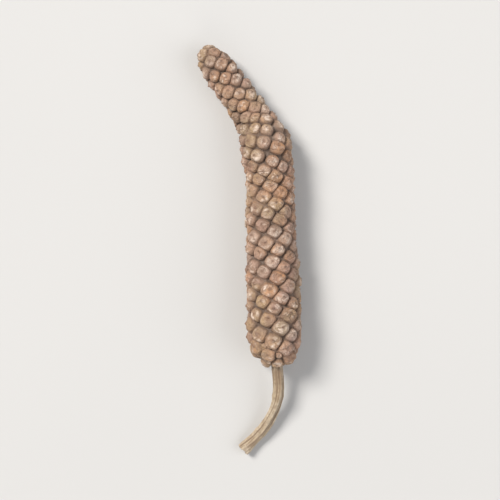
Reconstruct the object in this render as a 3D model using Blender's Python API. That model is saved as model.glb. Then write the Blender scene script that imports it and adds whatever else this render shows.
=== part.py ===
"""A dried long pepper: a tapering, bent fruit spike closely covered in round berries, on a slender stalk.

It lies on its side, as picked, on the surface that it rests on. Metres, +Z up, +Y from the stalk towards the
tip, with the origin on that surface, under the middle of the pepper.
"""

import math

import bmesh
import bpy
import numpy as np
from mathutils import Matrix, Vector

# The fruit spike. Its radii are measured over the tops of the berries. It swells into a shoulder where it
# turns left, and gets thinner just past it. Places and spreads are shares of its length.
SPIKE_LENGTH = 0.0385
BASE_RADIUS = 0.0034
TAPER = 0.0009
SHOULDER = 0.0003
SHOULDER_PLACE = 0.65
SHOULDER_SPREAD = 0.07
NARROWING = 0.00048
NARROWING_PLACE = 0.71
NARROWING_SPREAD = 0.045
BASE_ROUNDING = 0.0042
TIP_ROUNDING = 0.0034
LEAN = math.radians(2)
BEND = math.radians(34)
BEND_PLACE = 0.68
BEND_SPREAD = 0.07

# The berries: how far apart they stand, their size as shares of that pitch, and how uneven they are.
BASE_PITCH = 0.00176
TIP_PITCH = 0.00134
PACKING = 0.866
BERRY_RADIUS = 0.585
BERRY_HEIGHT = 0.50
PLACE_JITTER = 0.06
SIZE_JITTER = 0.10
GOLDEN_ANGLE = math.pi * (3 - math.sqrt(5))
SEED = 7

# The stalk, and the socket in the spike's base that holds it with the gap that touching pieces keep.
STALK_LENGTH = 0.0138
STALK_RADIUS = 0.00062
STALK_COLLAR = 0.00032
COLLAR_LENGTH = 0.0016
STALK_FOOT = 0.00018
FOOT_LENGTH = 0.0013
STALK_SWEEP = math.radians(46)
SWEEP_POWER = 1.5
STALK_WAVE = math.radians(9)
STALK_RIDGES = 5
STALK_RIDGE_DEPTH = 0.09
STALK_TWIST = math.radians(70)
SOCKET_DEPTH = 0.0018
SOCKET_GAP = 0.00028
MOUTH_RADIUS = 0.0015

# How deep the lowest berries and the stalk's end are pressed flat by what they lie on.
FLAT_DEPTH = 0.00016
STALK_FLAT_DEPTH = 0.00010

# How finely the surfaces are drawn, the size of the block that cuts the flats, and the length of the edges
# that its cut leaves too short to keep.
PROFILE_STEPS = 1200
SLOPE_STEP = 1e-4
SPIKE_RINGS = 250
SPIKE_SIDES = 132
SPIKE_TRIANGLES = 10400
STALK_RINGS = 36
STALK_SIDES = 20
CUTTER_SIZE = 0.1
SHORTEST_EDGE = 0.000004

SPIKE_COLOUR = (0.270, 0.135, 0.085, 1.0)
SPIKE_ROUGHNESS = 0.8
STALK_COLOUR = (0.520, 0.400, 0.250, 1.0)
STALK_ROUGHNESS = 0.7


def clear_scene():
    """Removes whatever the scene holds."""
    for item in list(bpy.data.objects):
        bpy.data.objects.remove(item, do_unlink=True)


def make_material(name, colour, roughness):
    """A matt, non-metallic surface of one colour."""
    material = bpy.data.materials.new(name)
    material.use_nodes = True
    shader = material.node_tree.nodes["Principled BSDF"]
    shader.inputs["Base Color"].default_value = colour
    shader.inputs["Roughness"].default_value = roughness
    shader.inputs["Metallic"].default_value = 0.0
    return material


def past(place, spread, along):
    """A smooth step from 0 before a place on the spike's length to 1 after it."""
    return (1 + np.tanh((along - place) / spread)) / 2


def outer_radius(along):
    """The spike's radius over its berries, with its ends not yet rounded, at a share of its length."""
    shoulder = SHOULDER * np.exp(-(((along - SHOULDER_PLACE) / SHOULDER_SPREAD) ** 2))
    narrowing = NARROWING * past(NARROWING_PLACE, NARROWING_SPREAD, along)
    return BASE_RADIUS - TAPER * along + shoulder - narrowing


def berry_pitch(along):
    """The distance between neighbouring berries at a share of the spike's length."""
    return BASE_PITCH + (TIP_PITCH - BASE_PITCH) * along


def core_radius(along):
    """The radius of the surface under the berries, closed at both ends by a quarter of an ellipse."""
    side = outer_radius(along) - BERRY_HEIGHT * berry_pitch(along)
    from_base = np.clip(along * SPIKE_LENGTH / BASE_ROUNDING, 0, 1)
    from_tip = np.clip((1 - along) * SPIKE_LENGTH / TIP_ROUNDING, 0, 1)
    base_share = np.sqrt(1 - (1 - from_base) ** 2)
    tip_share = np.sqrt(1 - (1 - from_tip) ** 2)
    return side * base_share * tip_share


def unit(vectors):
    return vectors / np.linalg.norm(vectors, axis=-1, keepdims=True)


def path_frame(points):
    """The direction of a path at each of its points, and the two directions across it: sideways and up."""
    forward = unit(np.gradient(points, axis=0))
    side = unit(np.cross(forward, (0.0, 0.0, 1.0)))
    return forward, side, np.cross(side, forward)


def read_path(points, share):
    """The place, the direction and the two directions across it at shares of the length of an even path."""
    even = np.linspace(0, 1, len(points))
    columns = [points, *path_frame(points)]
    return [np.stack([np.interp(share, even, c[:, i]) for i in range(3)], axis=-1) for c in columns]


def walk(start, heading, length):
    """The plan of a path that sets out from a point and follows a heading, measured from +Y to the left."""
    step = length / (len(heading) - 1)
    middle = (heading[1:] + heading[:-1]) / 2
    x = start[0] - np.concatenate([[0], np.cumsum(np.sin(middle))]) * step
    y = start[1] + np.concatenate([[0], np.cumsum(np.cos(middle))]) * step
    return x, y


def spike_path(along):
    """The spike's centre line. Its height follows the radius, so that its underside stays level."""
    fine = np.linspace(0, 1, PROFILE_STEPS)
    x, y = walk((0, 0), LEAN + BEND * past(BEND_PLACE, BEND_SPREAD, fine), SPIKE_LENGTH)
    z = outer_radius(fine) - FLAT_DEPTH
    return read_path(np.stack([x, y, z], axis=1), along)


def on_core(along, turn):
    """Points on the surface under the berries, and the outward directions there."""
    centre, forward, side, up = spike_path(along)
    outward = side * np.cos(turn)[..., None] + up * np.sin(turn)[..., None]
    before = np.clip(along - SLOPE_STEP, 0, 1)
    after = np.clip(along + SLOPE_STEP, 0, 1)
    slope = (core_radius(after) - core_radius(before)) / ((after - before) * SPIKE_LENGTH)
    return centre + core_radius(along)[..., None] * outward, unit(outward - slope[..., None] * forward)


def profile():
    """Shares of the length from the socket's mouth to the tip, with the core's radius and arc length."""
    along = (1 - np.cos(np.linspace(0, math.pi, PROFILE_STEPS))) / 2
    radius = core_radius(along)
    mouth = np.argmax(radius > MOUTH_RADIUS)
    along = along[mouth:]
    radius = radius[mouth:]
    arc = np.hypot(np.diff(along) * SPIKE_LENGTH, np.diff(radius))
    return along, radius, np.concatenate([[0], np.cumsum(arc)])


def berries():
    """Where each berry sits, its radius and its height.

    From the tip down, each berry is a golden angle on from the last, and moves down until the band
    between them has room for one: the band's area is that of one berry's cell, PACKING times pitch squared.
    """
    along, radius, arc = profile()
    band = math.pi * (radius[1:] + radius[:-1]) * np.diff(arc)
    pitch = berry_pitch((along[1:] + along[:-1]) / 2)
    from_tip = np.cumsum((band / (PACKING * pitch**2))[::-1])
    count = int(from_tip[-1])
    place = np.interp(np.arange(count) + 0.5, from_tip, along[:-1][::-1])
    turn = np.arange(count) * GOLDEN_ANGLE
    rng = np.random.default_rng(SEED)
    pitch = berry_pitch(place)
    wander = rng.normal(0, PLACE_JITTER, (2, count)) * pitch
    place = np.clip(place + wander[0] / SPIKE_LENGTH, along[0], 1)
    turn = turn + wander[1] / np.maximum(core_radius(place), pitch)
    size = 1 + rng.uniform(-SIZE_JITTER, SIZE_JITTER, count)
    seats, _ = on_core(place, turn)
    return seats, BERRY_RADIUS * pitch * size, BERRY_HEIGHT * pitch * size


def berry_relief(points):
    """How far the surface is raised at each point: the highest of the berries' half ellipsoids there."""
    relief = np.zeros(len(points))
    for seat, radius, height in zip(*berries()):
        distance = np.linalg.norm(points - seat, axis=1) / radius
        dome = height * np.sqrt(np.clip(1 - distance**2, 0, None))
        relief = np.maximum(relief, dome)
    return relief


def ring_round(centre, side, up, radius, turns):
    """Points at a radius round a centre, in the plane of two directions."""
    return centre + radius[..., None] * (side * np.cos(turns)[..., None] + up * np.sin(turns)[..., None])


def closed_skin(name, rings, first, last, material):
    """A closed object from rings of points, with one more point closing each end."""
    count, sides, _ = rings.shape
    points = [Vector(p) for p in rings.reshape(-1, 3)] + [Vector(first), Vector(last)]
    faces = []
    for ring in range(count - 1):
        here, there = ring * sides, (ring + 1) * sides
        for i in range(sides):
            j = (i + 1) % sides
            faces.append((here + i, there + i, there + j, here + j))
    end = (count - 1) * sides
    for i in range(sides):
        j = (i + 1) % sides
        faces.append((count * sides, i, j))
        faces.append((count * sides + 1, end + j, end + i))
    mesh = bpy.data.meshes.new(name)
    mesh.from_pydata(points, [], faces)
    mesh.materials.append(material)
    mesh.shade_smooth()
    piece = bpy.data.objects.new(name, mesh)
    bpy.context.scene.collection.objects.link(piece)
    return piece


def socket_floor():
    """The share of the spike's length at which the stalk's socket ends."""
    return profile()[0][0] + SOCKET_DEPTH / SPIKE_LENGTH


def socket_wall(turns):
    """Two rings of the socket's wall: at its floor and at its mouth."""
    ends = np.array([socket_floor(), profile()[0][0]])
    centre, _, side, up = (c[:, None, :] for c in spike_path(ends))
    radius = np.full((2, 1), STALK_RADIUS + STALK_COLLAR + SOCKET_GAP)
    return ring_round(centre, side, up, radius, turns[None, :])


def make_spike(material):
    """The fruit spike: the socket in its base, and its berried side from the socket's mouth to the tip."""
    along, _, arc = profile()
    rows = np.interp(np.linspace(0, arc[-1], SPIKE_RINGS + 1)[:-1], arc, along)
    turns = np.linspace(0, 2 * math.pi, SPIKE_SIDES, endpoint=False)
    points, outward = on_core(*np.meshgrid(rows, turns, indexing="ij"))
    relief = berry_relief(points.reshape(-1, 3)).reshape(points.shape[:2])
    skin = points + outward * relief[..., None]
    tip, forward, _, _ = spike_path(np.array([1.0]))
    tip = tip[0] + forward[0] * berry_relief(tip)[0]
    floor = spike_path(np.array([socket_floor()]))[0][0]
    spike = closed_skin("fruit_spike", np.concatenate([socket_wall(turns), skin]), floor, tip, material)
    lighten = spike.modifiers.new("lighten", "DECIMATE")
    lighten.ratio = SPIKE_TRIANGLES / (2 * SPIKE_SIDES * (SPIKE_RINGS + 2))
    return spike


def stalk_path(share):
    """The stalk's centre line: out of the socket, round to the left, and down until its end lies level."""
    start = spike_path(np.array([socket_floor() - SOCKET_GAP / SPIKE_LENGTH]))[0][0]
    fine = np.linspace(0, 1, PROFILE_STEPS)
    turned = STALK_SWEEP * fine**SWEEP_POWER - STALK_WAVE * np.sin(2 * math.pi * fine)
    x, y = walk(start, LEAN + math.pi - turned, STALK_LENGTH)
    end_height = STALK_RADIUS - STALK_FLAT_DEPTH
    z = start[2] + (end_height - start[2]) * fine**2 * (3 - 2 * fine)
    return read_path(np.stack([x, y, z], axis=1), share)


def stalk_radius(share, turn):
    """The stalk's radius: swollen where it enters the spike and at its cut end, and ridged all along."""
    from_base = share * STALK_LENGTH / COLLAR_LENGTH
    from_end = (1 - share) * STALK_LENGTH / FOOT_LENGTH
    plain = STALK_RADIUS + STALK_COLLAR * np.exp(-(from_base**4)) + STALK_FOOT * np.exp(-(from_end**2))
    ridge = np.cos(STALK_RIDGES * turn + STALK_TWIST * STALK_RIDGES * share)
    return plain - STALK_RADIUS * STALK_RIDGE_DEPTH * (1 - ridge) / 2


def make_stalk(material):
    """The stalk: a ridged, drooping tube with a flat cut end."""
    shares = np.linspace(0, 1, STALK_RINGS)
    turns = np.linspace(0, 2 * math.pi, STALK_SIDES, endpoint=False)
    centre, _, side, up = stalk_path(shares)
    radius = stalk_radius(shares[:, None], turns[None, :])
    rings = ring_round(centre[:, None, :], side[:, None, :], up[:, None, :], radius, turns[None, :])
    return closed_skin("stalk", rings, centre[0], centre[-1], material)


def middle_of_plan():
    """The middle, seen from above, of the box round both centre lines, their radii and the tip's berries."""
    share = np.linspace(0, 1, PROFILE_STEPS)
    spike, forward, across, _ = spike_path(share)
    tip = spike[-1:] + forward[-1:] * BERRY_HEIGHT * TIP_PITCH
    spike_reach = across * outer_radius(share)[:, None]
    stalk, _, across, _ = stalk_path(share)
    stalk_reach = across * (STALK_RADIUS + STALK_FOOT)
    spike_sides = [spike - spike_reach, spike + spike_reach]
    edges = np.concatenate([*spike_sides, tip, stalk - stalk_reach, stalk + stalk_reach])
    return (edges.min(axis=0) + edges.max(axis=0))[:2] / 2


def make_floor_cutter():
    """A block that fills the space below the surface that the pepper rests on."""
    body = bmesh.new()
    bmesh.ops.create_cube(body, size=CUTTER_SIZE, matrix=Matrix.Translation((0, 0, -CUTTER_SIZE / 2)))
    mesh = bpy.data.meshes.new("below_the_surface")
    body.to_mesh(mesh)
    body.free()
    cutter = bpy.data.objects.new("below_the_surface", mesh)
    cutter.hide_render = True
    cutter.display_type = "WIRE"
    bpy.context.scene.collection.objects.link(cutter)
    return cutter


def main():
    clear_scene()
    pepper = bpy.data.objects.new("pepper", None)
    bpy.context.scene.collection.objects.link(pepper)
    middle = middle_of_plan()
    pepper.location = (-middle[0], -middle[1], 0)
    cutter = make_floor_cutter()
    spike = make_spike(make_material("berries", SPIKE_COLOUR, SPIKE_ROUGHNESS))
    stalk = make_stalk(make_material("stalk", STALK_COLOUR, STALK_ROUGHNESS))
    for piece in (spike, stalk):
        piece.parent = pepper
        flats = piece.modifiers.new("flats", "BOOLEAN")
        flats.operation = "DIFFERENCE"
        flats.object = cutter
        tidy = piece.modifiers.new("tidy", "WELD")
        tidy.merge_threshold = SHORTEST_EDGE


main()
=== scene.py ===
"""A dried long pepper: its fruit spike of berries and its stalk, on a pale floor, in soft light."""

import math

import bpy
import numpy as np
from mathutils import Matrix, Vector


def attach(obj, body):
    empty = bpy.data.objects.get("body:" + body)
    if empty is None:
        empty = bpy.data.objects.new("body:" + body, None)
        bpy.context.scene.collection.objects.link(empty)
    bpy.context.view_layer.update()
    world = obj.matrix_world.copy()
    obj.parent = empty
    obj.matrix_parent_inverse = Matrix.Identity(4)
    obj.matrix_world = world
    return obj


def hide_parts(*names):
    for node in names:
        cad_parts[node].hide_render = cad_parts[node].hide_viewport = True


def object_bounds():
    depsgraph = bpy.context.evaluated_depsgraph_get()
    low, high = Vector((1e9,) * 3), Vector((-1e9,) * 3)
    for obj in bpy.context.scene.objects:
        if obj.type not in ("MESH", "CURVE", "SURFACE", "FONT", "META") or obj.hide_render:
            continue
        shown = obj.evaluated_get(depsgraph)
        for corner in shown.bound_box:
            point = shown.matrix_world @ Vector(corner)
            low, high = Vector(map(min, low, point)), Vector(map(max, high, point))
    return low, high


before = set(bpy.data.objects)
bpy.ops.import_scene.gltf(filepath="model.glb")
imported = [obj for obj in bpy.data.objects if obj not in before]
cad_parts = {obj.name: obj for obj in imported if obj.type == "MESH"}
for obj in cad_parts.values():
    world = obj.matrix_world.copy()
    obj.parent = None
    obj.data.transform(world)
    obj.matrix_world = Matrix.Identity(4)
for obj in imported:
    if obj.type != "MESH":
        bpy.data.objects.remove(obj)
CAD_BOX = [list(corner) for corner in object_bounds()]

bl_info = {
    "name": "Long Pepper",
    "version": (1, 0, 0),
    "blender": (4, 5, 0),
    "location": "3D View > Sidebar > Long Pepper",
    "description": "Builds a dried long pepper with its stalk, in a plain studio",
    "category": "Object",
}

# The same values as the solids follow: berries on a golden-angle spiral, how uneven they are, the socket that
# the stalk stands in, and the steps in which paths and slopes are worked out.
GOLDEN_ANGLE = math.pi * (3 - math.sqrt(5))
PACKING = 0.866
PLACE_JITTER = 0.06
SIZE_JITTER = 0.10
SEED = 7
SOCKET_DEPTH = 0.0018
SOCKET_GAP = 0.00028
MOUTH_RADIUS = 0.0015
PROFILE_STEPS = 1200
SLOPE_STEP = 1e-4

# The spike's skin starts inside the socket, at this radius, and is closed by a point this much farther in.
INNER_RADIUS = 0.0007
INNER_REACH = 0.0008

# How finely the surfaces are drawn.
SPIKE_RINGS = 420
SPIKE_SIDES = 226
STALK_RINGS = 260
STALK_SIDES = 96

# A small berry may stand on every third row of the wide end's surface, at any of these even turns.
FILLING_ROW_STEP = 3
FILLING_TURNS = 120

# Uneven fields, each a sum of waves: the waves' usual wavelength, their number and the seed of their draws.
WRINKLE = (0.0007, 40, 3)
FINE_WRINKLE = (0.0003, 40, 4)
FOLD = (0.0013, 30, 5)
FINE_FOLD = (0.0008, 30, 6)
PIT_DEPTH = (0.0030, 24, 8)
KNOT = (0.0012, 24, 11)
FIBRE = (0.00022, 30, 21)
TORN_EDGE = (0.0007, 16, 22)

# How many times finer than its field's usual wavelength a wave may be, at least and at most.
FINENESS = (0.7, 1.6)

# A fold's width as a share of its field's spread, its depth beside a wrinkle's height, and how strong the
# finer wrinkles and folds are beside the others.
FOLD_WIDTH = 0.40
FOLD_DEPTH = 2.0
FINE_SHARE = 0.6

# How strong the wrinkles are on a berry's top, and how much of that they lose towards its border.
TOP_WRINKLES = 1.2
WRINKLE_FALL = 0.8

# The least and greatest height left between berries, as shares of a berry's height.
PIT_LIMITS = (0.2, 0.8)

# A berry's lobes, the power that makes shrunken berries rare, and where the stigma sits, towards the tip and
# across, in radii of the berry: its usual place and how far it strays.
LOBES = 4
SHRUNKEN_POWER = 3
STIGMA_PLACE = (0.14, 0.0)
STIGMA_STRAY = (0.06, 0.08)

# The marks that the berries' material reads: how worn a berry can be and how worn the bleached one is, how
# much a fold counts against height, how high the lip counts, and all four at the socket's closing point.
MOST_WORN = 1.04
BLEACHED_WORN = 1.2
FOLD_MARK = 0.10
LIP_MARK = 0.6
SOCKET_MARKS = (0.5, 0.0, 0.0, 0.5)

# The stalk's bark: how many ribs it has, and the place, spread and height of each joint along it.
RIBS = 13
FINE_RIBS = 29
JOINTS = ((0.44, 0.022, 1.0), (0.79, 0.018, 0.7))

# How the ribs sway along the stalk: how far, how often and from which phase, all in radians. The fine ones
# have a sway of their own, with no phase.
SWAYS = ((0.25, 5, 1.0), (0.12, 13, 0.0))
FINE_SWAY = 2
FINE_SWAY_RATE = 9

# How far the bark's forms stand out, as shares of the stalk's radius, and how much of its length the knots
# see, which draws them out along it.
RIB_HEIGHT = 0.06
FINE_RIB_HEIGHT = 0.035
KNOT_HEIGHT = 0.05
JOINT_HEIGHT = 0.09
KNOT_LENGTH = 0.3

# How much each of them counts in the mark for height that the stalk's material reads.
RIDGE_MARK = 0.50
RIB_MARK = 0.30
FINE_RIB_MARK = 0.15
KNOT_MARK = 0.10

# The rings of the stalk's cut end, as shares of its radius, from the rim inward.
CUT_RINGS = (0.97, 0.92, 0.85, 0.77, 0.68, 0.58, 0.47, 0.35, 0.22, 0.09)

# The cut end's raised rim, its hollow, its fibres and where they begin, all as shares of its radius, and how
# many times shorter than the foot the torn stretch is.
RIM = 0.89
RIM_WIDTH = 0.08
RIM_HEIGHT = 0.08
CUT_HOLLOW = 0.10
FIBRE_HEIGHT = 0.05
FIBRE_EDGE = 0.95
TEAR_SHORTER = 2

# The stalk's marks for height, cut and place along it: at its root, over the cut end and in its middle.
ROOT_MARKS = (0.3, 0.0, 0.0)
CUT_MARKS = (0.6, 1.0, 1.0)
CUT_MIDDLE_MARKS = (0.5, 1.0, 1.0)

# Where a noise's low values end and its high ones begin, for blotches and for patches.
BLOTCHES = (0.40, 0.66)
PATCHES = (0.36, 0.64)

# Each light's name, place, size, power in watts and tint. They all face the middle of the floor.
LIGHTS = (
    ("key_light", (-1.5, 1.2, 2.1), 1.0, 95.0, (1.0, 0.97, 0.93)),
    ("fill_light", (2.25, -0.5, 1.75), 2.5, 39.0, (0.95, 0.97, 1.0)),
    ("back_light", (0.25, -2.25, 1.25), 2.0, 15.0, (1.0, 0.98, 0.95)),
)

# The lowest points are pressed flat just above the floor.
FLOOR_CLEARANCE = 0.00001


def length(name, description, default):
    """A length that a user can change, in metres."""
    return bpy.props.FloatProperty(
        name=name, description=description, default=default, unit="LENGTH", subtype="DISTANCE", precision=5
    )


def angle(name, description, degrees):
    """An angle that a user can change."""
    return bpy.props.FloatProperty(
        name=name, description=description, default=math.radians(degrees), unit="ROTATION", subtype="ANGLE"
    )


def share(name, description, default):
    """A plain number, such as a share of a length, that a user can change."""
    return bpy.props.FloatProperty(name=name, description=description, default=default, precision=4)


def colour(name, description, default):
    """A colour that a user can change."""
    return bpy.props.FloatVectorProperty(
        name=name, description=description, default=default, size=3, subtype="COLOR", min=0, max=1
    )


class LongPepperSpikeSettings(bpy.types.PropertyGroup):
    """The form of the fruit spike, the same as its solid's, and the finish of its berries."""

    length: length("Length", "Length of the spike's centre line", 0.0385)
    base_radius: length("Base radius", "Radius over the berries at the wide end", 0.0034)
    taper: length("Taper", "How much the radius falls evenly from the base to the tip", 0.0009)
    shoulder: length("Shoulder", "How much the spike swells at the bend", 0.0003)
    shoulder_place: share("Shoulder place", "Where the shoulder is, as a share of the length", 0.65)
    shoulder_spread: share("Shoulder spread", "How far the shoulder spreads along the length", 0.07)
    narrowing: length("Narrowing", "How much the radius falls past the bend", 0.00048)
    narrowing_place: share("Narrowing place", "Where it gets thinner, as a share of the length", 0.71)
    narrowing_spread: share("Narrowing spread", "How far that change spreads along the length", 0.045)
    base_rounding: length("Base rounding", "Length over which the wide end is rounded", 0.0042)
    tip_rounding: length("Tip rounding", "Length over which the tip is rounded", 0.0034)
    lean: angle("Lean", "Heading of the spike at its base, to the left of straight ahead", 2)
    bend: angle("Bend", "How far the spike turns to the left", 34)
    bend_place: share("Bend place", "Where the bend is, as a share of the length", 0.68)
    bend_spread: share("Bend spread", "How far the bend spreads, as a share of the length", 0.07)
    flat_depth: length("Flat depth", "How deep the lowest berries are pressed flat", 0.00016)
    base_pitch: length("Base pitch", "Distance between berries at the base", 0.00176)
    tip_pitch: length("Tip pitch", "Distance between berries at the tip", 0.00134)
    berry_radius: share("Berry radius", "Radius of a berry as a share of the pitch", 0.585)
    berry_height: share("Berry height", "Height of a berry as a share of the pitch", 0.50)
    crevice: share("Crevice", "Depth of the groove between berries as a share of a berry's height", 0.28)
    crevice_width: share("Crevice width", "How far the groove reaches into a berry's cell", 0.12)
    lobe_depth: share("Lobe depth", "How deep a berry's edge is pinched into lobes", 0.10)
    dimple_depth: share("Dimple depth", "How deep the middle of the most shrunken berry sinks", 0.34)
    dimple_width: share("Dimple width", "How wide that dimple is, as a share of the berry's radius", 0.40)
    stigma_height: share("Stigma height", "Height of the round scar on a berry's top", 0.08)
    stigma_width: share("Stigma width", "Width of that scar, as a share of the berry's radius", 0.14)
    ring_depth: share("Ring depth", "Depth of the ring round the scar", 0.06)
    ring_place: share("Ring place", "How far the ring is from the scar's middle", 0.23)
    ring_width: share("Ring width", "Width of the ring", 0.08)
    tilt: share("Tilt", "Usual slope of a berry's top", 0.10)
    bulge: share("Bulge", "How much a berry swells sideways over its seat", 0.28)
    filling_count: bpy.props.IntProperty(
        name="Filling count", description="Number of small berries that fill the wide end's gaps", default=17
    )
    filling_start: length("Filling start", "Least distance of those from the stalk's middle", 0.00112)
    filling_reach: length("Filling reach", "How far up the spike those berries go", 0.0024)
    filling_least: length("Filling least", "Least width of those berries", 0.00085)
    filling_most: length("Filling most", "Greatest width of those berries", 0.00115)
    bleached_place: share("Bleached place", "Where a bleached berry is, as a share of the length", 0.74)
    bleached_turn: angle("Bleached turn", "How far up from the right-hand side it is", 60)
    pit: share("Pit", "Height left where three berries meet, as a share of a berry's height", 0.39)
    pit_change: share("Pit change", "How much that height differs from place to place", 0.14)
    unevenness: share("Unevenness", "How much the berries' heights differ beyond their solid's", 0.10)
    lip: length("Lip", "How far the bare axis rises round the stalk", 0.00016)
    lip_width: length("Lip width", "How far that lip reaches from the stalk", 0.00048)
    wrinkle: length("Wrinkle", "Height of the wrinkles in the dried skin", 0.000030)
    brown: colour("Brown", "The usual colour of a berry's skin", (0.462, 0.292, 0.210))
    dark: colour("Dark brown", "The darkest berries", (0.205, 0.118, 0.080))
    orange: colour("Orange brown", "The warmest berries and patches", (0.490, 0.252, 0.125))
    olive: colour("Olive brown", "Patches of several berries", (0.400, 0.300, 0.165))
    pink: colour("Pinkish brown", "Patches of a few berries", (0.450, 0.278, 0.235))
    grey: colour("Pinkish grey", "The most faded berries", (0.400, 0.300, 0.245))
    # Painted shade on the berries' sides and in their creases; the same brown also gives fine random specks.
    shade_and_speck_brown: colour("Flanks", "The sides of the berries, down towards the crevices", (0.255, 0.168, 0.122))
    # Painted shade deep between the berries.
    crevice_shade: colour("Crevices", "The colour deep between berries", (0.140, 0.097, 0.073))
    # Pale dust on the berries' tops, partly painted highlight; it is also the bleached berry's colour.
    dust_and_highlight: colour("Dust", "The pale bloom on the tops of the berries", (0.785, 0.643, 0.530))


class LongPepperStalkSettings(bpy.types.PropertyGroup):
    """The form of the stalk, the same as its solid's, and its finish."""

    length: length("Length", "Length of the stalk's centre line, with what is in the socket", 0.0138)
    radius: length("Radius", "Radius between the stalk's ends", 0.00062)
    collar: length("Collar", "How much thicker the stalk is where it enters the spike", 0.00032)
    collar_length: length("Collar length", "How far the collar reaches along the stalk", 0.0016)
    foot: length("Foot", "How much thicker the stalk is at its cut end", 0.00018)
    foot_length: length("Foot length", "How far the thicker end reaches", 0.0013)
    sweep: angle("Sweep", "How far the stalk turns to the left on its way down", 46)
    sweep_power: share("Sweep power", "How late along the stalk the turn comes", 1.5)
    wave: angle("Wave", "How far the stalk sways to either side of its curve", 9)
    ridges: bpy.props.IntProperty(name="Ridges", description="Number of main ridges", default=5)
    ridge_depth: share("Ridge depth", "Depth of the main ridges as a share of the radius", 0.09)
    twist: angle("Twist", "How far the ridges wind round the stalk", 70)
    flat_depth: length("Flat depth", "How deep the cut end is pressed flat", 0.00010)
    tear: length("Tear", "How unevenly the end is torn", 0.00007)
    straw: colour("Straw", "The usual colour of the bark", (0.460, 0.355, 0.238))
    streak: colour("Streaks", "The darker streaks along the bark", (0.225, 0.145, 0.086))
    # The cream also lies on the ridges as dust with painted highlight, and the groove colour is painted shade
    # between the ridges that also gives fine specks.
    cream: colour("Cream", "The palest ridges and the cut end", (0.690, 0.590, 0.450))
    groove: colour("Grooves", "The colour deep between ridges", (0.210, 0.142, 0.090))


class LongPepperStageSettings(bpy.types.PropertyGroup):
    """The floor, the light and the camera."""

    floor_size: length("Floor size", "Side of the square floor", 12.0)
    floor_colour: colour("Floor colour", "The pale floor", (0.600, 0.592, 0.578))
    view_height: length("View height", "Height of what the camera sees", 0.0575)
    lens: bpy.props.FloatProperty(
        name="Lens", description="Focal length of the camera", default=100, unit="CAMERA", precision=1
    )
    glow_colour: colour("Glow colour", "The even light from all round", (0.930, 0.950, 1.000))
    glow: share("Glow", "Strength of the even light from all round", 0.28)


def past(place, spread, along):
    """A smooth step on the spike's length, by a tanh: 0 before the place, 1 after it."""
    return (1 + np.tanh((along - place) / spread)) / 2


def outer_radius(s, along):
    """Radius over the berries: it falls evenly by the taper, swells at the shoulder by a bell curve, and
    falls by the narrowing with a smooth step."""
    shoulder = s.shoulder * np.exp(-(((along - s.shoulder_place) / s.shoulder_spread) ** 2))
    narrowing = s.narrowing * past(s.narrowing_place, s.narrowing_spread, along)
    return s.base_radius - s.taper * along + shoulder - narrowing


def berry_pitch(s, along):
    """The distance between berries: it changes evenly from the base to the tip."""
    return s.base_pitch + (s.tip_pitch - s.base_pitch) * along


def core_radius(s, along):
    """Radius of the surface under the berries: the outer radius less a berry's height, times a quarter of an
    ellipse at each end."""
    side = outer_radius(s, along) - s.berry_height * berry_pitch(s, along)
    from_base = np.clip(along * s.length / s.base_rounding, 0, 1)
    from_tip = np.clip((1 - along) * s.length / s.tip_rounding, 0, 1)
    return side * np.sqrt(1 - (1 - from_base) ** 2) * np.sqrt(1 - (1 - from_tip) ** 2)


def unit(vectors):
    """Vectors brought to length 1."""
    return vectors / np.linalg.norm(vectors, axis=-1, keepdims=True)


def read_path(points, shares):
    """An even path's place, direction, sideways direction and upward direction, at shares of its length."""
    forward = unit(np.gradient(points, axis=0))
    side = unit(np.cross(forward, (0.0, 0.0, 1.0)))
    even = np.linspace(0, 1, len(points))
    columns = [points, forward, side, np.cross(side, forward)]
    return [np.stack([np.interp(shares, even, c[:, i]) for i in range(3)], axis=-1) for c in columns]


def walk(start, heading, distance):
    """The plan of a path: the running sum of equal steps, each along the mean of two headings."""
    step = distance / (len(heading) - 1)
    middle = (heading[1:] + heading[:-1]) / 2
    x = start[0] - np.concatenate([[0], np.cumsum(np.sin(middle))]) * step
    y = start[1] + np.concatenate([[0], np.cumsum(np.cos(middle))]) * step
    return x, y


def spike_path(s, along):
    """The spike's centre line: its heading is the lean plus the bend's step, its height the outer radius."""
    fine = np.linspace(0, 1, PROFILE_STEPS)
    x, y = walk((0, 0), s.lean + s.bend * past(s.bend_place, s.bend_spread, fine), s.length)
    return read_path(np.stack([x, y, outer_radius(s, fine) - s.flat_depth], axis=1), along)


def on_core(s, along, turn):
    """The surface under the berries, a circle of the core radius carried along the centre line, its outward
    directions, and its directions towards the tip."""
    centre, forward, side, up = spike_path(s, along)
    outward = side * np.cos(turn)[..., None] + up * np.sin(turn)[..., None]
    before = np.clip(along - SLOPE_STEP, 0, 1)
    after = np.clip(along + SLOPE_STEP, 0, 1)
    slope = ((core_radius(s, after) - core_radius(s, before)) / ((after - before) * s.length))[..., None]
    points = centre + core_radius(s, along)[..., None] * outward
    return points, unit(outward - slope * forward), unit(forward + slope * outward)


def profile(s, mouth_radius):
    """Shares of the length, with the core's radius and arc length, from where it is wider than a mouth."""
    along = (1 - np.cos(np.linspace(0, math.pi, PROFILE_STEPS))) / 2
    radius = core_radius(s, along)
    mouth = np.argmax(radius > mouth_radius)
    along = along[mouth:]
    radius = radius[mouth:]
    arc = np.hypot(np.diff(along) * s.length, np.diff(radius))
    return along, radius, np.concatenate([[0], np.cumsum(arc)])


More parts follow.
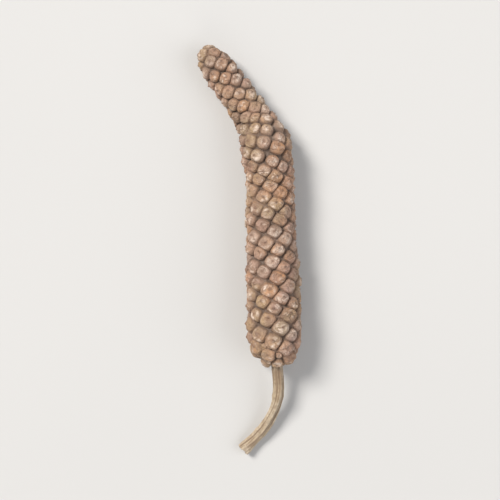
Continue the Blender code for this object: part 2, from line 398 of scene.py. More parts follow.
def berries(s):
    """The berries' seats, their outward and tipward directions, their radii and their heights.

    From the tip down, each berry is a golden angle on from the last, and moves down until the band
    between them has room for one: the band's area is that of one berry's cell, PACKING times pitch squared.
    """
    along, radius, arc = profile(s, MOUTH_RADIUS)
    band = math.pi * (radius[1:] + radius[:-1]) * np.diff(arc)
    pitch = berry_pitch(s, (along[1:] + along[:-1]) / 2)
    from_tip = np.cumsum((band / (PACKING * pitch**2))[::-1])
    count = int(from_tip[-1])
    place = np.interp(np.arange(count) + 0.5, from_tip, along[:-1][::-1])
    turn = np.arange(count) * GOLDEN_ANGLE
    rng = np.random.default_rng(SEED)
    pitch = berry_pitch(s, place)
    wander = rng.normal(0, PLACE_JITTER, (2, count)) * pitch
    place = np.clip(place + wander[0] / s.length, along[0], 1)
    turn = turn + wander[1] / np.maximum(core_radius(s, place), pitch)
    size = 1 + rng.uniform(-SIZE_JITTER, SIZE_JITTER, count)
    seats, outward, tipward = on_core(s, place, turn)
    return seats, outward, tipward, s.berry_radius * pitch * size, s.berry_height * pitch * size


def filling_berries(s, seats):
    """Small berries that fill the gaps at the wide end, in the same form as the berries' list.

    Each goes where the surface under the berries is farthest from every seat so far. Its width is twice that
    distance less a large berry's pitch, kept between two limits.
    """
    along, _, _ = profile(s, s.filling_start)
    rows = along[along < s.filling_reach / s.length][::FILLING_ROW_STEP]
    turns = np.linspace(0, 2 * math.pi, FILLING_TURNS, endpoint=False)
    grid = on_core(s, *np.meshgrid(rows, turns, indexing="ij"))
    points, outward, tipward = (part.reshape(-1, 3) for part in grid)
    gap = np.linalg.norm(points[:, None] - seats, axis=2).min(axis=1)
    chosen = []
    widths = []
    for _ in range(s.filling_count):
        farthest = np.argmax(gap)
        chosen.append(farthest)
        widths.append(np.clip(2 * gap[farthest] - s.base_pitch, s.filling_least, s.filling_most))
        gap = np.minimum(gap, np.linalg.norm(points - points[farthest], axis=1))
    width = np.array(widths)
    return points[chosen], outward[chosen], tipward[chosen], s.berry_radius * width, s.berry_height * width


def middle_of_plan(spike, stalk):
    """The middle, seen from above, of the box round both centre lines, their radii and the tip's berries."""
    shares = np.linspace(0, 1, PROFILE_STEPS)
    line, forward, across, _ = spike_path(spike, shares)
    tip = line[-1:] + forward[-1:] * spike.berry_height * spike.tip_pitch
    reach = across * outer_radius(spike, shares)[:, None]
    stem, _, stem_across, _ = stalk_path(spike, stalk, shares)
    stem_reach = stem_across * (stalk.radius + stalk.foot)
    edges = np.concatenate([line - reach, line + reach, tip, stem - stem_reach, stem + stem_reach])
    middle = (edges.min(axis=0) + edges.max(axis=0)) / 2
    return np.array([middle[0], middle[1], 0.0])


def cells(points, seats, radii):
    """Which berry each point belongs to, and where it lies in that berry's cell.

    Distances are divided by the berry's radius. The place in the cell is twice the nearest distance over the
    sum of the two nearest, so it is 0 over the seat and 1 on the border with the next berry.
    """
    nearest = np.full(len(points), np.inf)
    second = np.full(len(points), np.inf)
    owner = np.zeros(len(points), int)
    for number, (seat, radius) in enumerate(zip(seats, radii)):
        distance = np.linalg.norm(points - seat, axis=1) / radius
        closer = distance < nearest
        second = np.where(closer, nearest, np.minimum(second, distance))
        owner = np.where(closer, number, owner)
        nearest = np.minimum(nearest, distance)
    return owner, 2 * nearest / (nearest + second)


def waves(points, field):
    """A smooth, uneven field of mean 0 and spread 1: a sum of plane waves of random direction and phase."""
    wavelength, count, seed = field
    rng = np.random.default_rng(seed)
    direction = unit(rng.normal(size=(count, 3)))
    fineness = rng.uniform(*FINENESS, count)
    phase = rng.uniform(0, 2 * math.pi, count)
    angle_at = points @ (direction * (2 * math.pi / wavelength * fineness)[:, None]).T + phase
    return np.cos(angle_at).sum(axis=-1) * math.sqrt(2 / count)


def creases(points, field):
    """Fine valleys, 1 deep, that run where an uneven field passes through 0: a bell curve of the field."""
    return np.exp(-((waves(points, field) / FOLD_WIDTH) ** 2))


def berry_skin(s, points, outward, from_mouth):
    """The berried surface over core points, and each point's marks: tone, height, stigma and wear.

    A berry is half an ellipsoid, cut off by a groove where it meets the next one, and between berries the
    surface falls to a height that waves raise and lower. A berry leans by a small random tilt, is pinched by
    four lobes towards its border, and sinks by a bell curve in the middle where it has shrunk. A little
    towards the tip it carries its stigma, a round scar in a shallow ring. Waves and creases wrinkle it, less
    so towards its border. Where the stalk comes out, the bare axis rises in a lip round it.
    """
    large = berries(s)
    small = filling_berries(s, large[0])
    seats, seat_outward, tipward, radii, heights = map(np.concatenate, zip(large, small))
    owner, cell = cells(points, seats, radii)
    rng = np.random.default_rng(SEED + 1)
    count = len(seats)
    tone = rng.uniform(0, 1, count)
    shrunk = rng.uniform(0, 1, count) ** SHRUNKEN_POWER
    worn = rng.uniform(0, MOST_WORN, count)
    bleached, _, _ = on_core(s, np.array([s.bleached_place]), np.array([s.bleached_turn]))
    worn[np.argmin(np.linalg.norm(seats - bleached, axis=1))] = BLEACHED_WORN
    tilt = rng.normal(0, s.tilt, (count, 2))
    heights = heights * (1 + rng.uniform(-s.unevenness, s.unevenness, count))
    phase = rng.uniform(0, 2 * math.pi, count)
    stigma_place = rng.normal(STIGMA_PLACE, STIGMA_STRAY, (count, 2))

    offset = points - seats[owner]
    crossward = np.cross(seat_outward, tipward)
    ahead = np.einsum("ij,ij->i", offset, tipward[owner]) / radii[owner]
    across = np.einsum("ij,ij->i", offset, crossward[owner]) / radii[owner]
    around = np.arctan2(across, ahead)
    from_seat = np.hypot(ahead, across)
    pit = np.clip(s.pit + s.pit_change * waves(points, PIT_DEPTH), *PIT_LIMITS)
    dome = np.sqrt(np.clip(1 - from_seat**2, pit**2, 1))
    groove = s.crevice * np.exp(-(((1 - cell) / s.crevice_width) ** 2))
    lobes = s.lobe_depth * (1 - np.cos(LOBES * around + phase[owner])) * cell**2 * (1 - cell)
    lean = (tilt[owner, 0] * ahead + tilt[owner, 1] * across) * (1 - cell**2)
    dimple = s.dimple_depth * shrunk[owner] * np.exp(-((from_seat / s.dimple_width) ** 2))
    from_stigma = np.hypot(ahead - stigma_place[owner, 0], across - stigma_place[owner, 1])
    stigma = np.exp(-((from_stigma / s.stigma_width) ** 4))
    ring = np.exp(-(((from_stigma - s.ring_place) / s.ring_width) ** 2))
    form = dome - groove - lobes + lean - dimple + s.stigma_height * stigma - s.ring_depth * ring
    lip = np.exp(-((from_mouth / s.lip_width) ** 2))
    wrinkles = waves(points, WRINKLE) + FINE_SHARE * waves(points, FINE_WRINKLE)
    folds = creases(points, FOLD) + FINE_SHARE * creases(points, FINE_FOLD)
    relief = np.maximum(heights[owner] * form, s.lip * lip)
    relief += s.wrinkle * (TOP_WRINKLES - WRINKLE_FALL * cell) * (wrinkles - FOLD_DEPTH * folds)

    bulge = s.bulge * (1 - cell) * dome
    surface = points + outward * relief[:, None] + offset * bulge[:, None]
    high = np.clip(np.maximum(form - FOLD_MARK * folds, LIP_MARK * lip), 0, 1)
    marks = np.stack([tone[owner], high, stigma, worn[owner]], axis=1)
    return surface, marks


def spike_rings(s):
    """Rings of the spike's skin from the socket to the tip, their marks, and the two closing points."""
    along, _, arc = profile(s, INNER_RADIUS)
    steps = np.linspace(0, arc[-1], SPIKE_RINGS + 1)[:-1]
    rows = np.interp(steps, arc, along)
    turns = np.linspace(0, 2 * math.pi, SPIKE_SIDES, endpoint=False)
    points, outward, _ = on_core(s, *np.meshgrid(rows, turns, indexing="ij"))
    skin, marks = berry_skin(s, points.reshape(-1, 3), outward.reshape(-1, 3), np.repeat(steps, SPIKE_SIDES))
    tip, forward, _, _ = spike_path(s, np.array([1.0]))
    tip_skin, tip_marks = berry_skin(s, tip, forward, arc[-1:])
    floor, _, _, _ = spike_path(s, np.array([rows[0] + INNER_REACH / s.length]))
    marks = marks.reshape(*points.shape[:2], 4)
    return skin.reshape(points.shape), marks, floor[0], tip_skin[0], tip_marks[0]


def stalk_path(spike, s, shares):
    """The stalk's centre line: out of the socket, turning left by the sweep and swaying by the wave, and
    down by a smooth step until its end lies level."""
    mouth = profile(spike, MOUTH_RADIUS)[0][0]
    root = mouth + (SOCKET_DEPTH - SOCKET_GAP) / spike.length
    start = spike_path(spike, np.array([root]))[0][0]
    fine = np.linspace(0, 1, PROFILE_STEPS)
    turned = s.sweep * fine**s.sweep_power - s.wave * np.sin(2 * math.pi * fine)
    x, y = walk(start, spike.lean + math.pi - turned, s.length)
    end_height = s.radius - s.flat_depth
    z = start[2] + (end_height - start[2]) * fine**2 * (3 - 2 * fine)
    return read_path(np.stack([x, y, z], axis=1), shares)


def straight_stalk(s, shares, turns):
    """Where each share and turn would lie on a plain, straight stalk along Z."""
    x = np.cos(turns) * s.radius
    y = np.sin(turns) * s.radius
    return np.stack(np.broadcast_arrays(x, y, shares * s.length), axis=-1)


def stalk_skin(s, shares, turns):
    """The stalk's bark: its radius at each share and turn, and its mark for height.

    It swells at both ends by a bell curve. The main ridges, the ribs and the fine ribs are cosines of the
    turn, wound by the twist and swayed along the stalk. Knots are an uneven field drawn out lengthwise, and
    joints are bell curves along the stalk.
    """
    from_base = shares * s.length / s.collar_length
    from_end = (1 - shares) * s.length / s.foot_length
    plain = s.radius + s.collar * np.exp(-(from_base**4)) + s.foot * np.exp(-(from_end**2))
    wound = turns + s.twist * shares
    sway = sum(reach * np.sin(rate * shares + phase) for reach, rate, phase in SWAYS)
    main = (1 - np.cos(s.ridges * wound)) / 2
    ribs = (1 + np.cos(RIBS * (wound + sway))) / 2
    fine_sway = FINE_SWAY * np.sin(FINE_SWAY_RATE * shares)
    fine = (1 + np.cos(FINE_RIBS * (wound - sway) + fine_sway)) / 2
    knots = waves(straight_stalk(s, shares, turns) * (1, 1, KNOT_LENGTH), KNOT)
    joints = sum(height * np.exp(-(((shares - place) / spread) ** 2)) for place, spread, height in JOINTS)
    raised = RIB_HEIGHT * ribs + FINE_RIB_HEIGHT * fine + KNOT_HEIGHT * knots + JOINT_HEIGHT * joints
    mark = RIDGE_MARK * (1 - main) + RIB_MARK * ribs + FINE_RIB_MARK * fine + KNOT_MARK * knots
    return plain + s.radius * (raised - s.ridge_depth * main), np.clip(mark, 0, 1)


def stalk_rings(spike, s):
    """Rings of the stalk, first of its bark and then of its cut end, with how they lie, their marks and the
    two closing points.

    The cut end is the bark's last ring drawn inward. It rises by a bell curve in a rim, sinks evenly towards
    its middle and carries fibres. An uneven field tears the end, and fades along the foot by a bell curve.
    """
    shares = np.linspace(0, 1, STALK_RINGS)
    turns = np.linspace(0, 2 * math.pi, STALK_SIDES, endpoint=False)
    centre, forward, side, up = stalk_path(spike, s, shares)
    radius, height = stalk_skin(s, shares[:, None], turns[None, :])
    across = side[:, None] * np.cos(turns)[None, :, None] + up[:, None] * np.sin(turns)[None, :, None]
    bark = centre[:, None] + across * radius[..., None]
    bark[..., 2] = np.maximum(bark[..., 2], FLOOR_CLEARANCE)
    inward = np.array(CUT_RINGS)
    rim = RIM_HEIGHT * np.exp(-(((inward - RIM) / RIM_WIDTH) ** 2))
    ahead = s.radius * (rim - CUT_HOLLOW * (1 - inward))
    cut = centre[-1] + (bark[-1] - centre[-1]) * inward[:, None, None]
    fibres = waves(cut, FIBRE) * s.radius * FIBRE_HEIGHT * (inward[:, None] < FIBRE_EDGE)
    torn = waves(bark[-1], TORN_EDGE) * s.tear
    near_end = np.exp(-(((1 - shares) * s.length / s.foot_length * TEAR_SHORTER) ** 2))
    bark = bark + forward[-1] * (torn * near_end[:, None])[..., None]
    cut = cut + forward[-1] * (ahead[:, None] + fibres + torn * inward[:, None] ** 2)[..., None]
    rings = np.concatenate([bark, cut])
    lay = straight_stalk(s, shares[:, None], turns[None, :])
    cut_lay = np.broadcast_to(lay[-1], (len(inward), *lay.shape[1:])) * inward[:, None, None]
    along = np.broadcast_to(shares[:, None], height.shape)
    marks = np.stack([height, np.zeros_like(height), along], axis=-1)
    cut_marks = np.broadcast_to(CUT_MARKS, (*cut.shape[:2], 3))
    last = centre[-1] + forward[-1] * ahead[-1]
    return rings, np.concatenate([lay, cut_lay]), np.concatenate([marks, cut_marks]), centre[0], last


def grid_faces(rings, sides):
    """Quads between neighbouring rings, and triangles from two more points that close the ends."""
    ring, place = np.meshgrid(np.arange(rings - 1), np.arange(sides), indexing="ij")
    here = ring * sides + place
    after = ring * sides + (place + 1) % sides
    quads = np.stack([here, here + sides, after + sides, after], axis=-1).reshape(-1, 4)
    around = np.arange(sides)
    onward = (around + 1) % sides
    end = (rings - 1) * sides
    first = np.stack([np.full(sides, rings * sides), around, onward], axis=-1)
    last = np.stack([np.full(sides, rings * sides + 1), end + onward, end + around], axis=-1)
    return quads.tolist() + first.tolist() + last.tolist()


def surface_object(name, rings, first, last, middle):
    """A smooth, closed mesh object at the origin from rings of points and two closing points."""
    count, sides, _ = rings.shape
    points = np.concatenate([rings.reshape(-1, 3), first[None], last[None]]) - middle
    points[:, 2] = np.maximum(points[:, 2], FLOOR_CLEARANCE)
    mesh = bpy.data.meshes.new(name)
    mesh.from_pydata(points.tolist(), [], grid_faces(count, sides))
    mesh.shade_smooth()
    piece = bpy.data.objects.new(name, mesh)
    bpy.context.scene.collection.objects.link(piece)
    return piece


def store_colours(mesh, name, values):
    """Writes four numbers a point into a colour attribute."""
    layer = mesh.attributes.new(name, "FLOAT_COLOR", "POINT")
    layer.data.foreach_set("color", np.ascontiguousarray(values, np.float32).ravel())


def store_vectors(mesh, name, values):
    """Writes three numbers a point into a vector attribute."""
    layer = mesh.attributes.new(name, "FLOAT_VECTOR", "POINT")
    layer.data.foreach_set("vector", np.ascontiguousarray(values, np.float32).ravel())


def node(tree, kind, inputs=None, **settings):
    """A new shader node with its settings, and its inputs set or linked by name or number."""
    made = tree.nodes.new(kind)
    for name, value in settings.items():
        setattr(made, name, value)
    for name, value in (inputs or {}).items():
        if isinstance(value, bpy.types.NodeSocket):
            tree.links.new(value, made.inputs[name])
        else:
            made.inputs[name].default_value = value
    return made


def maths(tree, operation, *values, clamp=False):
    """The result of a Math node."""
    made = node(tree, "ShaderNodeMath", dict(enumerate(values)), operation=operation, use_clamp=clamp)
    return made.outputs[0]


def ranged(tree, value, low, high, to_low=0.0, to_high=1.0):
    """A value brought smoothly from one range to another."""
    inputs = {"Value": value, "From Min": low, "From Max": high, "To Min": to_low, "To Max": to_high}
    return node(tree, "ShaderNodeMapRange", inputs, interpolation_type="SMOOTHSTEP").outputs[0]


def blended(tree, amount, first, second):
    """Two colours mixed by an amount: a Mix node's colours are its inputs 6 and 7 and its output 2."""
    inputs = {0: amount, 6: first, 7: second}
    return node(tree, "ShaderNodeMix", inputs, data_type="RGBA").outputs[2]


def effect(name, inputs, outputs):
    """A new, empty node group with named inputs and outputs, each given as (name, kind, default)."""
    group = bpy.data.node_groups.new(name, "ShaderNodeTree")
    for label, kind, default in inputs:
        socket = group.interface.new_socket(label, in_out="INPUT", socket_type=kind)
        if default is not None:
            socket.default_value = default
    for label, kind in outputs:
        group.interface.new_socket(label, in_out="OUTPUT", socket_type=kind)
    return group, node(group, "NodeGroupInput").outputs, node(group, "NodeGroupOutput").inputs


def use(tree, name, **inputs):
    """An effect placed in a material, with its inputs set or linked. Underscores stand for spaces."""
    placed = tree.nodes.new("ShaderNodeGroup")
    placed.node_tree = bpy.data.node_groups[name]
    for label, value in inputs.items():
        socket = placed.inputs[label.replace("_", " ")]
        if isinstance(value, bpy.types.NodeSocket):
            tree.links.new(value, socket)
        else:
            socket.default_value = value
    return placed.outputs


COLOUR = "NodeSocketColor"
NUMBER = "NodeSocketFloat"
VECTOR = "NodeSocketVector"


def make_mottle():
    """Blotches of a second colour, where a noise is high."""
    group, given, result = effect(
        "mottle",
        [("Vector", VECTOR, None), ("Color", COLOUR, None), ("Second", COLOUR, None),
         ("Scale", NUMBER, 500.0), ("Amount", NUMBER, 0.5)],
        [("Color", COLOUR), ("Mask", NUMBER)],
    )
    inputs = {"Vector": given["Vector"], "Scale": given["Scale"], "Detail": 3.0}
    noise = node(group, "ShaderNodeTexNoise", inputs)
    mask = maths(group, "MULTIPLY", ranged(group, noise.outputs[0], *BLOTCHES), given["Amount"])
    group.links.new(blended(group, mask, given["Color"], given["Second"]), result["Color"])
    group.links.new(mask, result["Mask"])


def make_low_shade():
    """Painted shade where the surface lies low: the colour turns dark as the height falls below a reach."""
    group, given, result = effect(
        "low_shade",
        [("Color", COLOUR, None), ("Dark", COLOUR, None), ("Height", NUMBER, 1.0), ("Reach", NUMBER, 0.5)],
        [("Color", COLOUR), ("Mask", NUMBER)],
    )
    mask = ranged(group, given["Height"], 0.0, given["Reach"], 1.0, 0.0)
    group.links.new(blended(group, mask, given["Color"], given["Dark"]), result["Color"])
    group.links.new(mask, result["Mask"])


def make_dust_and_highlight():
    """Pale dust and painted highlight on what stands high, in patches."""
    group, given, result = effect(
        "dust_and_highlight",
        [("Vector", VECTOR, None), ("Color", COLOUR, None), ("Dust", COLOUR, None), ("Height", NUMBER, 1.0),
         ("Creases", NUMBER, 0.0), ("Scale", NUMBER, 900.0), ("Low", NUMBER, 0.55), ("Amount", NUMBER, 0.5)],
        [("Color", COLOUR), ("Mask", NUMBER)],
    )
    noise = node(
        group, "ShaderNodeTexNoise",
        {"Vector": given["Vector"], "Scale": given["Scale"], "Detail": 5.0, "Roughness": 0.65},
    )
    patches = ranged(group, noise.outputs[0], *PATCHES)
    high = ranged(group, given["Height"], given["Low"], 1.0)
    left = maths(group, "SUBTRACT", given["Amount"], given["Creases"], clamp=True)
    mask = maths(group, "MULTIPLY", maths(group, "MULTIPLY", patches, high), left, clamp=True)
    group.links.new(blended(group, mask, given["Color"], given["Dust"]), result["Color"])
    group.links.new(mask, result["Mask"])


def make_dry_skin():
    """The fine skin of a dried thing: a grain, and creases where a noise passes through its middle."""
    group, given, result = effect(
        "dry_skin",
        [("Vector", VECTOR, None), ("Scale", NUMBER, 4000.0), ("Crease Scale", NUMBER, 1500.0),
         ("Crease Width", NUMBER, 0.05)],
        [("Height", NUMBER), ("Creases", NUMBER)],
    )
    grain = node(
        group, "ShaderNodeTexNoise",
        {"Vector": given["Vector"], "Scale": given["Scale"], "Detail": 4.0, "Roughness": 0.65},
    )
    field = node(
        group, "ShaderNodeTexNoise",
        {"Vector": given["Vector"], "Scale": given["Crease Scale"], "Detail": 2.0, "Distortion": 0.4},
    )
    from_middle = maths(group, "ABSOLUTE", maths(group, "SUBTRACT", field.outputs[0], 0.5))
    lines = ranged(group, from_middle, 0.0, given["Crease Width"], 1.0, 0.0)
    group.links.new(maths(group, "SUBTRACT", grain.outputs[0], lines), result["Height"])
    group.links.new(lines, result["Creases"])


def new_material(name):
    """An empty material with a Principled BSDF, and its node tree."""
    material = bpy.data.materials.new(name)
    material.use_nodes = True
    tree = material.node_tree
    return material, tree, tree.nodes["Principled BSDF"]


def rgba(value):
    """A colour setting with full alpha."""
    return (*value, 1.0)


def berry_material(s):
    """Dry berry skin: a tone for each berry, blotched and creased, with painted shade in the creases, on the
    flanks and deep in the crevices, and pale dust with painted highlight on top.
    """
    material, tree, shader = new_material("berries")
    place = node(tree, "ShaderNodeTexCoord").outputs["Object"]
    marks = node(tree, "ShaderNodeAttribute", attribute_name="berry_marks")
    tone, height, stigma = node(tree, "ShaderNodeSeparateColor", {0: marks.outputs["Color"]}).outputs
    worn = marks.outputs["Alpha"]
    skin = use(tree, "dry_skin", Vector=place, Scale=5200.0, Crease_Scale=1250.0, Crease_Width=0.11)

    darkest = ranged(tree, tone, 0.0, 0.36, 1.0, 0.0)
    warmest = ranged(tree, tone, 0.62, 0.85)
    greyed = ranged(tree, worn, 0.55, 0.95, 0.0, 0.8)
    bleached = ranged(tree, worn, 1.0, 1.1, 0.0, 0.9)
    base = blended(tree, darkest, rgba(s.brown), rgba(s.dark))
    base = blended(tree, warmest, base, rgba(s.orange))
    base = blended(tree, greyed, base, rgba(s.grey))
    base = blended(tree, bleached, base, rgba(s.dust_and_highlight))
    blotches = (
        (s.pink, 350.0, 0.60), (s.dark, 310.0, 0.55), (s.orange, 210.0, 0.75), (s.olive, 270.0, 0.62),
        (s.dark, 1500.0, 0.55), (s.shade_and_speck_brown, 6500.0, 0.45),
    )
    for second, scale, amount in blotches:
        base = use(
            tree, "mottle", Vector=place, Color=base, Second=rgba(second), Scale=scale, Amount=amount
        )["Color"]
    # Pale dust and painted highlight on the berries' tops, in broad patches and more on worn berries.
    broad = node(tree, "ShaderNodeTexNoise", {"Vector": place, "Scale": 420.0, "Detail": 1.0}).outputs[0]
    faded = ranged(tree, worn, 0.0, 0.9, 0.35, 1.65)
    dust_and_highlight_amount = maths(tree, "MULTIPLY", faded, ranged(tree, broad, *PATCHES, 0.5, 1.4))
    with_dust_and_highlight = use(
        tree, "dust_and_highlight", Vector=place, Color=base, Dust=rgba(s.dust_and_highlight), Height=height, Creases=skin["Creases"],
        Scale=1500.0, Low=0.60, Amount=dust_and_highlight_amount,
    )
    # Painted shade in the skin's creases.
    crease_shade_amount = maths(tree, "MULTIPLY", skin["Creases"], 0.22)
    in_stigma = maths(tree, "MULTIPLY", stigma, 0.85)
    with_crease_shade = blended(tree, crease_shade_amount, with_dust_and_highlight["Color"], rgba(s.shade_and_speck_brown))
    marked = blended(tree, in_stigma, with_crease_shade, rgba(s.dark))
    # Painted shade down the berries' flanks.
    with_flank_shade = use(tree, "low_shade", Color=marked, Dark=rgba(s.shade_and_speck_brown), Height=height, Reach=0.88)
    # Painted shade, darker, deep in the crevices between berries.
    shaded = use(
        tree, "low_shade", Color=with_flank_shade["Color"], Dark=rgba(s.crevice_shade), Height=height, Reach=0.60
    )
    tree.links.new(shaded["Color"], shader.inputs["Base Color"])

    rough = ranged(tree, with_dust_and_highlight["Mask"], 0.0, 0.6, 0.58, 0.88)
    tree.links.new(rough, shader.inputs["Roughness"])
    shader.inputs["Specular IOR Level"].default_value = 0.35
    wrinkled = maths(tree, "MULTIPLY", skin["Height"], ranged(tree, height, 0.25, 0.75, 0.25, 1.0))
    bump = node(tree, "ShaderNodeBump", {"Height": wrinkled, "Strength": 0.8, "Distance": 0.00007})
    tree.links.new(bump.outputs[0], shader.inputs["Normal"])
    return material


def stalk_material(s):
    """Dry bark: straw with darker streaks along it, pale dust and painted highlight on the ridges, painted
    shade in the grooves, and a cream cut end.
    """
    material, tree, shader = new_material("stalk")
    lay = node(tree, "ShaderNodeAttribute", attribute_name="bark_lay").outputs["Vector"]
    marks = node(tree, "ShaderNodeAttribute", attribute_name="bark_marks")
    height, cut, along = node(tree, "ShaderNodeSeparateColor", {0: marks.outputs["Color"]}).outputs
    drawn_out = node(tree, "ShaderNodeMapping", {"Vector": lay, "Scale": (1.0, 1.0, 0.07)}).outputs[0]

    base = use(
        tree, "mottle", Vector=drawn_out, Color=rgba(s.straw), Second=rgba(s.streak),
        Scale=3000.0, Amount=0.75,
    )["Color"]
    near_spike = ranged(tree, along, 0.12, 0.42, 0.65, 0.0)
    base = blended(tree, near_spike, base, rgba(s.streak))
    pale = use(tree, "mottle", Vector=lay, Color=base, Second=rgba(s.cream), Scale=420.0, Amount=0.6)
    specks = use(
        tree, "mottle", Vector=lay, Color=pale["Color"], Second=rgba(s.groove), Scale=2600.0, Amount=0.45
    )
    # Pale dust and painted highlight on the ridges, then painted shade in the grooves.
    with_dust_and_highlight = use(
        tree, "dust_and_highlight", Vector=drawn_out, Color=specks["Color"], Dust=rgba(s.cream), Height=height,
        Scale=4200.0, Amount=0.7,
    )
    shaded = use(tree, "low_shade", Color=with_dust_and_highlight["Color"], Dark=rgba(s.groove), Height=height, Reach=0.45)
    fibres = use(
        tree, "mottle", Vector=lay, Color=rgba(s.cream), Second=rgba(s.streak), Scale=5200.0, Amount=0.8
    )
    finished = blended(tree, cut, shaded["Color"], fibres["Color"])
    tree.links.new(finished, shader.inputs["Base Color"])

    rough = ranged(tree, shaded["Mask"], 0.0, 1.0, 0.6, 0.85)
    tree.links.new(rough, shader.inputs["Roughness"])
    shader.inputs["Specular IOR Level"].default_value = 0.4
    skin = use(tree, "dry_skin", Vector=drawn_out, Scale=5200.0, Crease_Scale=2600.0, Crease_Width=0.09)
    bump = node(tree, "ShaderNodeBump", {"Height": skin["Height"], "Strength": 0.8, "Distance": 0.00006})
    tree.links.new(bump.outputs[0], shader.inputs["Normal"])
    return material


def floor_material(s):
    """A plain pale floor with a very faint unevenness."""
    material, tree, shader = new_material("pale_floor")
    place = node(tree, "ShaderNodeTexCoord").outputs["Object"]
    faint = tuple(0.97 * channel for channel in s.floor_colour)
    base = use(
        tree, "mottle", Vector=place, Color=rgba(s.floor_colour), Second=rgba(faint), Scale=6.0, Amount=1.0
    )
    tree.links.new(base["Color"], shader.inputs["Base Color"])
    shader.inputs["Roughness"].default_value = 0.9
    return material


def area_light(name, place, size, watts, tint):
    """A square soft light that shines from a place at the middle of the floor."""
    data = bpy.data.lights.new(name, "AREA")
    data.size = size
    data.energy = watts
    data.color = tint
    lamp = bpy.data.objects.new(name, data)
    lamp.location = place
    yaw = math.atan2(-place[1], -place[0])
    pitch = math.atan2(-place[2], math.hypot(place[0], place[1]))
    lamp.rotation_euler = (pitch + math.pi / 2, 0.0, yaw - math.pi / 2)
    lamp.visible_camera = False
    bpy.context.scene.collection.objects.link(lamp)


class OBJECT_OT_long_pepper_effects(bpy.types.Operator):
    """Builds the shader effects that the pepper's materials share"""

    bl_idname = "object.long_pepper_effects"
    bl_label = "Shader Effects"

    def execute(self, context):
        make_mottle()
        make_low_shade()
        make_dust_and_highlight()
        make_dry_skin()
        return {"FINISHED"}


class OBJECT_OT_long_pepper_spike(bpy.types.Operator):
    """Builds the fruit spike with its berries"""

    bl_idname = "object.long_pepper_spike"
    bl_label = "Fruit Spike"

    def execute(self, context):
        s = context.scene.long_pepper_spike
        rings, marks, floor, tip, tip_marks = spike_rings(s)
        middle = middle_of_plan(s, context.scene.long_pepper_stalk)
        piece = surface_object("spike_berries", rings, floor, tip, middle)
        closing = np.stack([SOCKET_MARKS, tip_marks])
        store_colours(piece.data, "berry_marks", np.concatenate([marks.reshape(-1, 4), closing]))
        piece.data.materials.append(berry_material(s))
        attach(piece, "root")
        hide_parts("fruit_spike")
        return {"FINISHED"}


class OBJECT_OT_long_pepper_stalk(bpy.types.Operator):
    """Builds the stalk with its bark and its cut end"""

    bl_idname = "object.long_pepper_stalk"
    bl_label = "Stalk"

    def execute(self, context):
        spike = context.scene.long_pepper_spike
        s = context.scene.long_pepper_stalk
        rings, lay, marks, first, last = stalk_rings(spike, s)
        piece = surface_object("stalk_bark", rings, first, last, middle_of_plan(spike, s))
        ends = np.array([[0.0, 0.0, 0.0], [0.0, 0.0, s.length]])
        store_vectors(piece.data, "bark_lay", np.concatenate([lay.reshape(-1, 3), ends]))
        whole = np.concatenate([marks.reshape(-1, 3), [ROOT_MARKS, CUT_MIDDLE_MARKS]])
        store_colours(piece.data, "bark_marks", np.concatenate([whole, np.ones((len(whole), 1))], axis=1))
        piece.data.materials.append(stalk_material(s))
        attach(piece, "root")
        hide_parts("stalk")
        return {"FINISHED"}


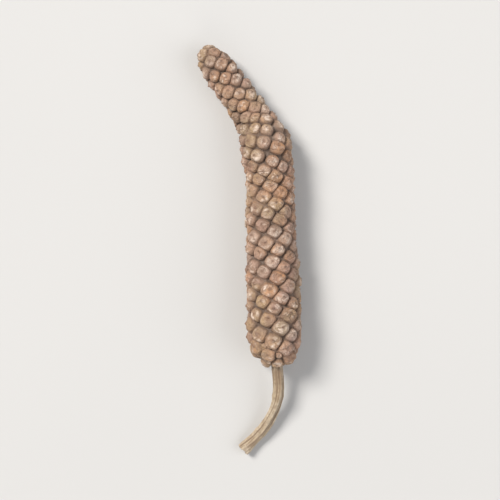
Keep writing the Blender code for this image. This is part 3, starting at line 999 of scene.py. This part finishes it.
class OBJECT_OT_long_pepper_stage(bpy.types.Operator):
    """Builds the pale floor, the soft lights and the camera that looks down on the pepper"""

    bl_idname = "object.long_pepper_stage"
    bl_label = "Stage"

    def execute(self, context):
        s = context.scene.long_pepper_stage
        half = s.floor_size / 2
        mesh = bpy.data.meshes.new("floor")
        corners = [(-half, -half, 0.0), (half, -half, 0.0), (half, half, 0.0), (-half, half, 0.0)]
        mesh.from_pydata(corners, [], [(0, 1, 2, 3)])
        mesh.materials.append(floor_material(s))
        floor = bpy.data.objects.new("floor", mesh)
        context.scene.collection.objects.link(floor)

        for light in LIGHTS:
            area_light(*light)
        world = bpy.data.worlds.new("studio")
        world.use_nodes = True
        background = world.node_tree.nodes["Background"]
        background.inputs["Color"].default_value = rgba(s.glow_colour)
        background.inputs["Strength"].default_value = s.glow
        context.scene.world = world

        low, high = (np.array(corner) for corner in CAD_BOX)
        data = bpy.data.cameras.new("camera")
        data.lens = s.lens
        data.clip_start = 0.01
        distance = s.view_height * s.lens / data.sensor_width
        camera = bpy.data.objects.new("camera", data)
        camera.location = (low + high) / 2 + np.array([0.0, 0.0, distance])
        context.scene.collection.objects.link(camera)
        context.scene.camera = camera
        context.scene.view_settings.view_transform = "Standard"
        return {"FINISHED"}


class VIEW3D_PT_long_pepper(bpy.types.Panel):
    """Lists the steps that build the pepper"""

    bl_idname = "VIEW3D_PT_long_pepper"
    bl_label = "Long Pepper"
    bl_space_type = "VIEW_3D"
    bl_region_type = "UI"
    bl_category = "Long Pepper"

    def draw(self, context):
        for step in STEPS:
            self.layout.operator(step.bl_idname)
        for name in SETTINGS:
            box = self.layout.box()
            settings = getattr(context.scene, name)
            for label in settings.__annotations__:
                box.prop(settings, label)


STEPS = (
    OBJECT_OT_long_pepper_effects,
    OBJECT_OT_long_pepper_stage,
    OBJECT_OT_long_pepper_spike,
    OBJECT_OT_long_pepper_stalk,
)
SETTINGS = {
    "long_pepper_spike": LongPepperSpikeSettings,
    "long_pepper_stalk": LongPepperStalkSettings,
    "long_pepper_stage": LongPepperStageSettings,
}


def register():
    """Registers the settings, the operators and the panel."""
    for name, settings in SETTINGS.items():
        bpy.utils.register_class(settings)
        setattr(bpy.types.Scene, name, bpy.props.PointerProperty(type=settings))
    for step in STEPS:
        bpy.utils.register_class(step)
    bpy.utils.register_class(VIEW3D_PT_long_pepper)


def unregister():
    """Takes away what register added."""
    bpy.utils.unregister_class(VIEW3D_PT_long_pepper)
    for step in reversed(STEPS):
        bpy.utils.unregister_class(step)
    for name, settings in reversed(list(SETTINGS.items())):
        delattr(bpy.types.Scene, name)
        bpy.utils.unregister_class(settings)


def main():
    for name in ("Cube", "Light", "Camera"):
        if name in bpy.data.objects:
            bpy.data.objects.remove(bpy.data.objects[name], do_unlink=True)
    register()
    bpy.ops.object.long_pepper_effects()
    bpy.ops.object.long_pepper_stage()
    bpy.ops.object.long_pepper_spike()
    bpy.ops.object.long_pepper_stalk()
    bpy.context.view_layer.update()


if __name__ == "__main__":
    main()
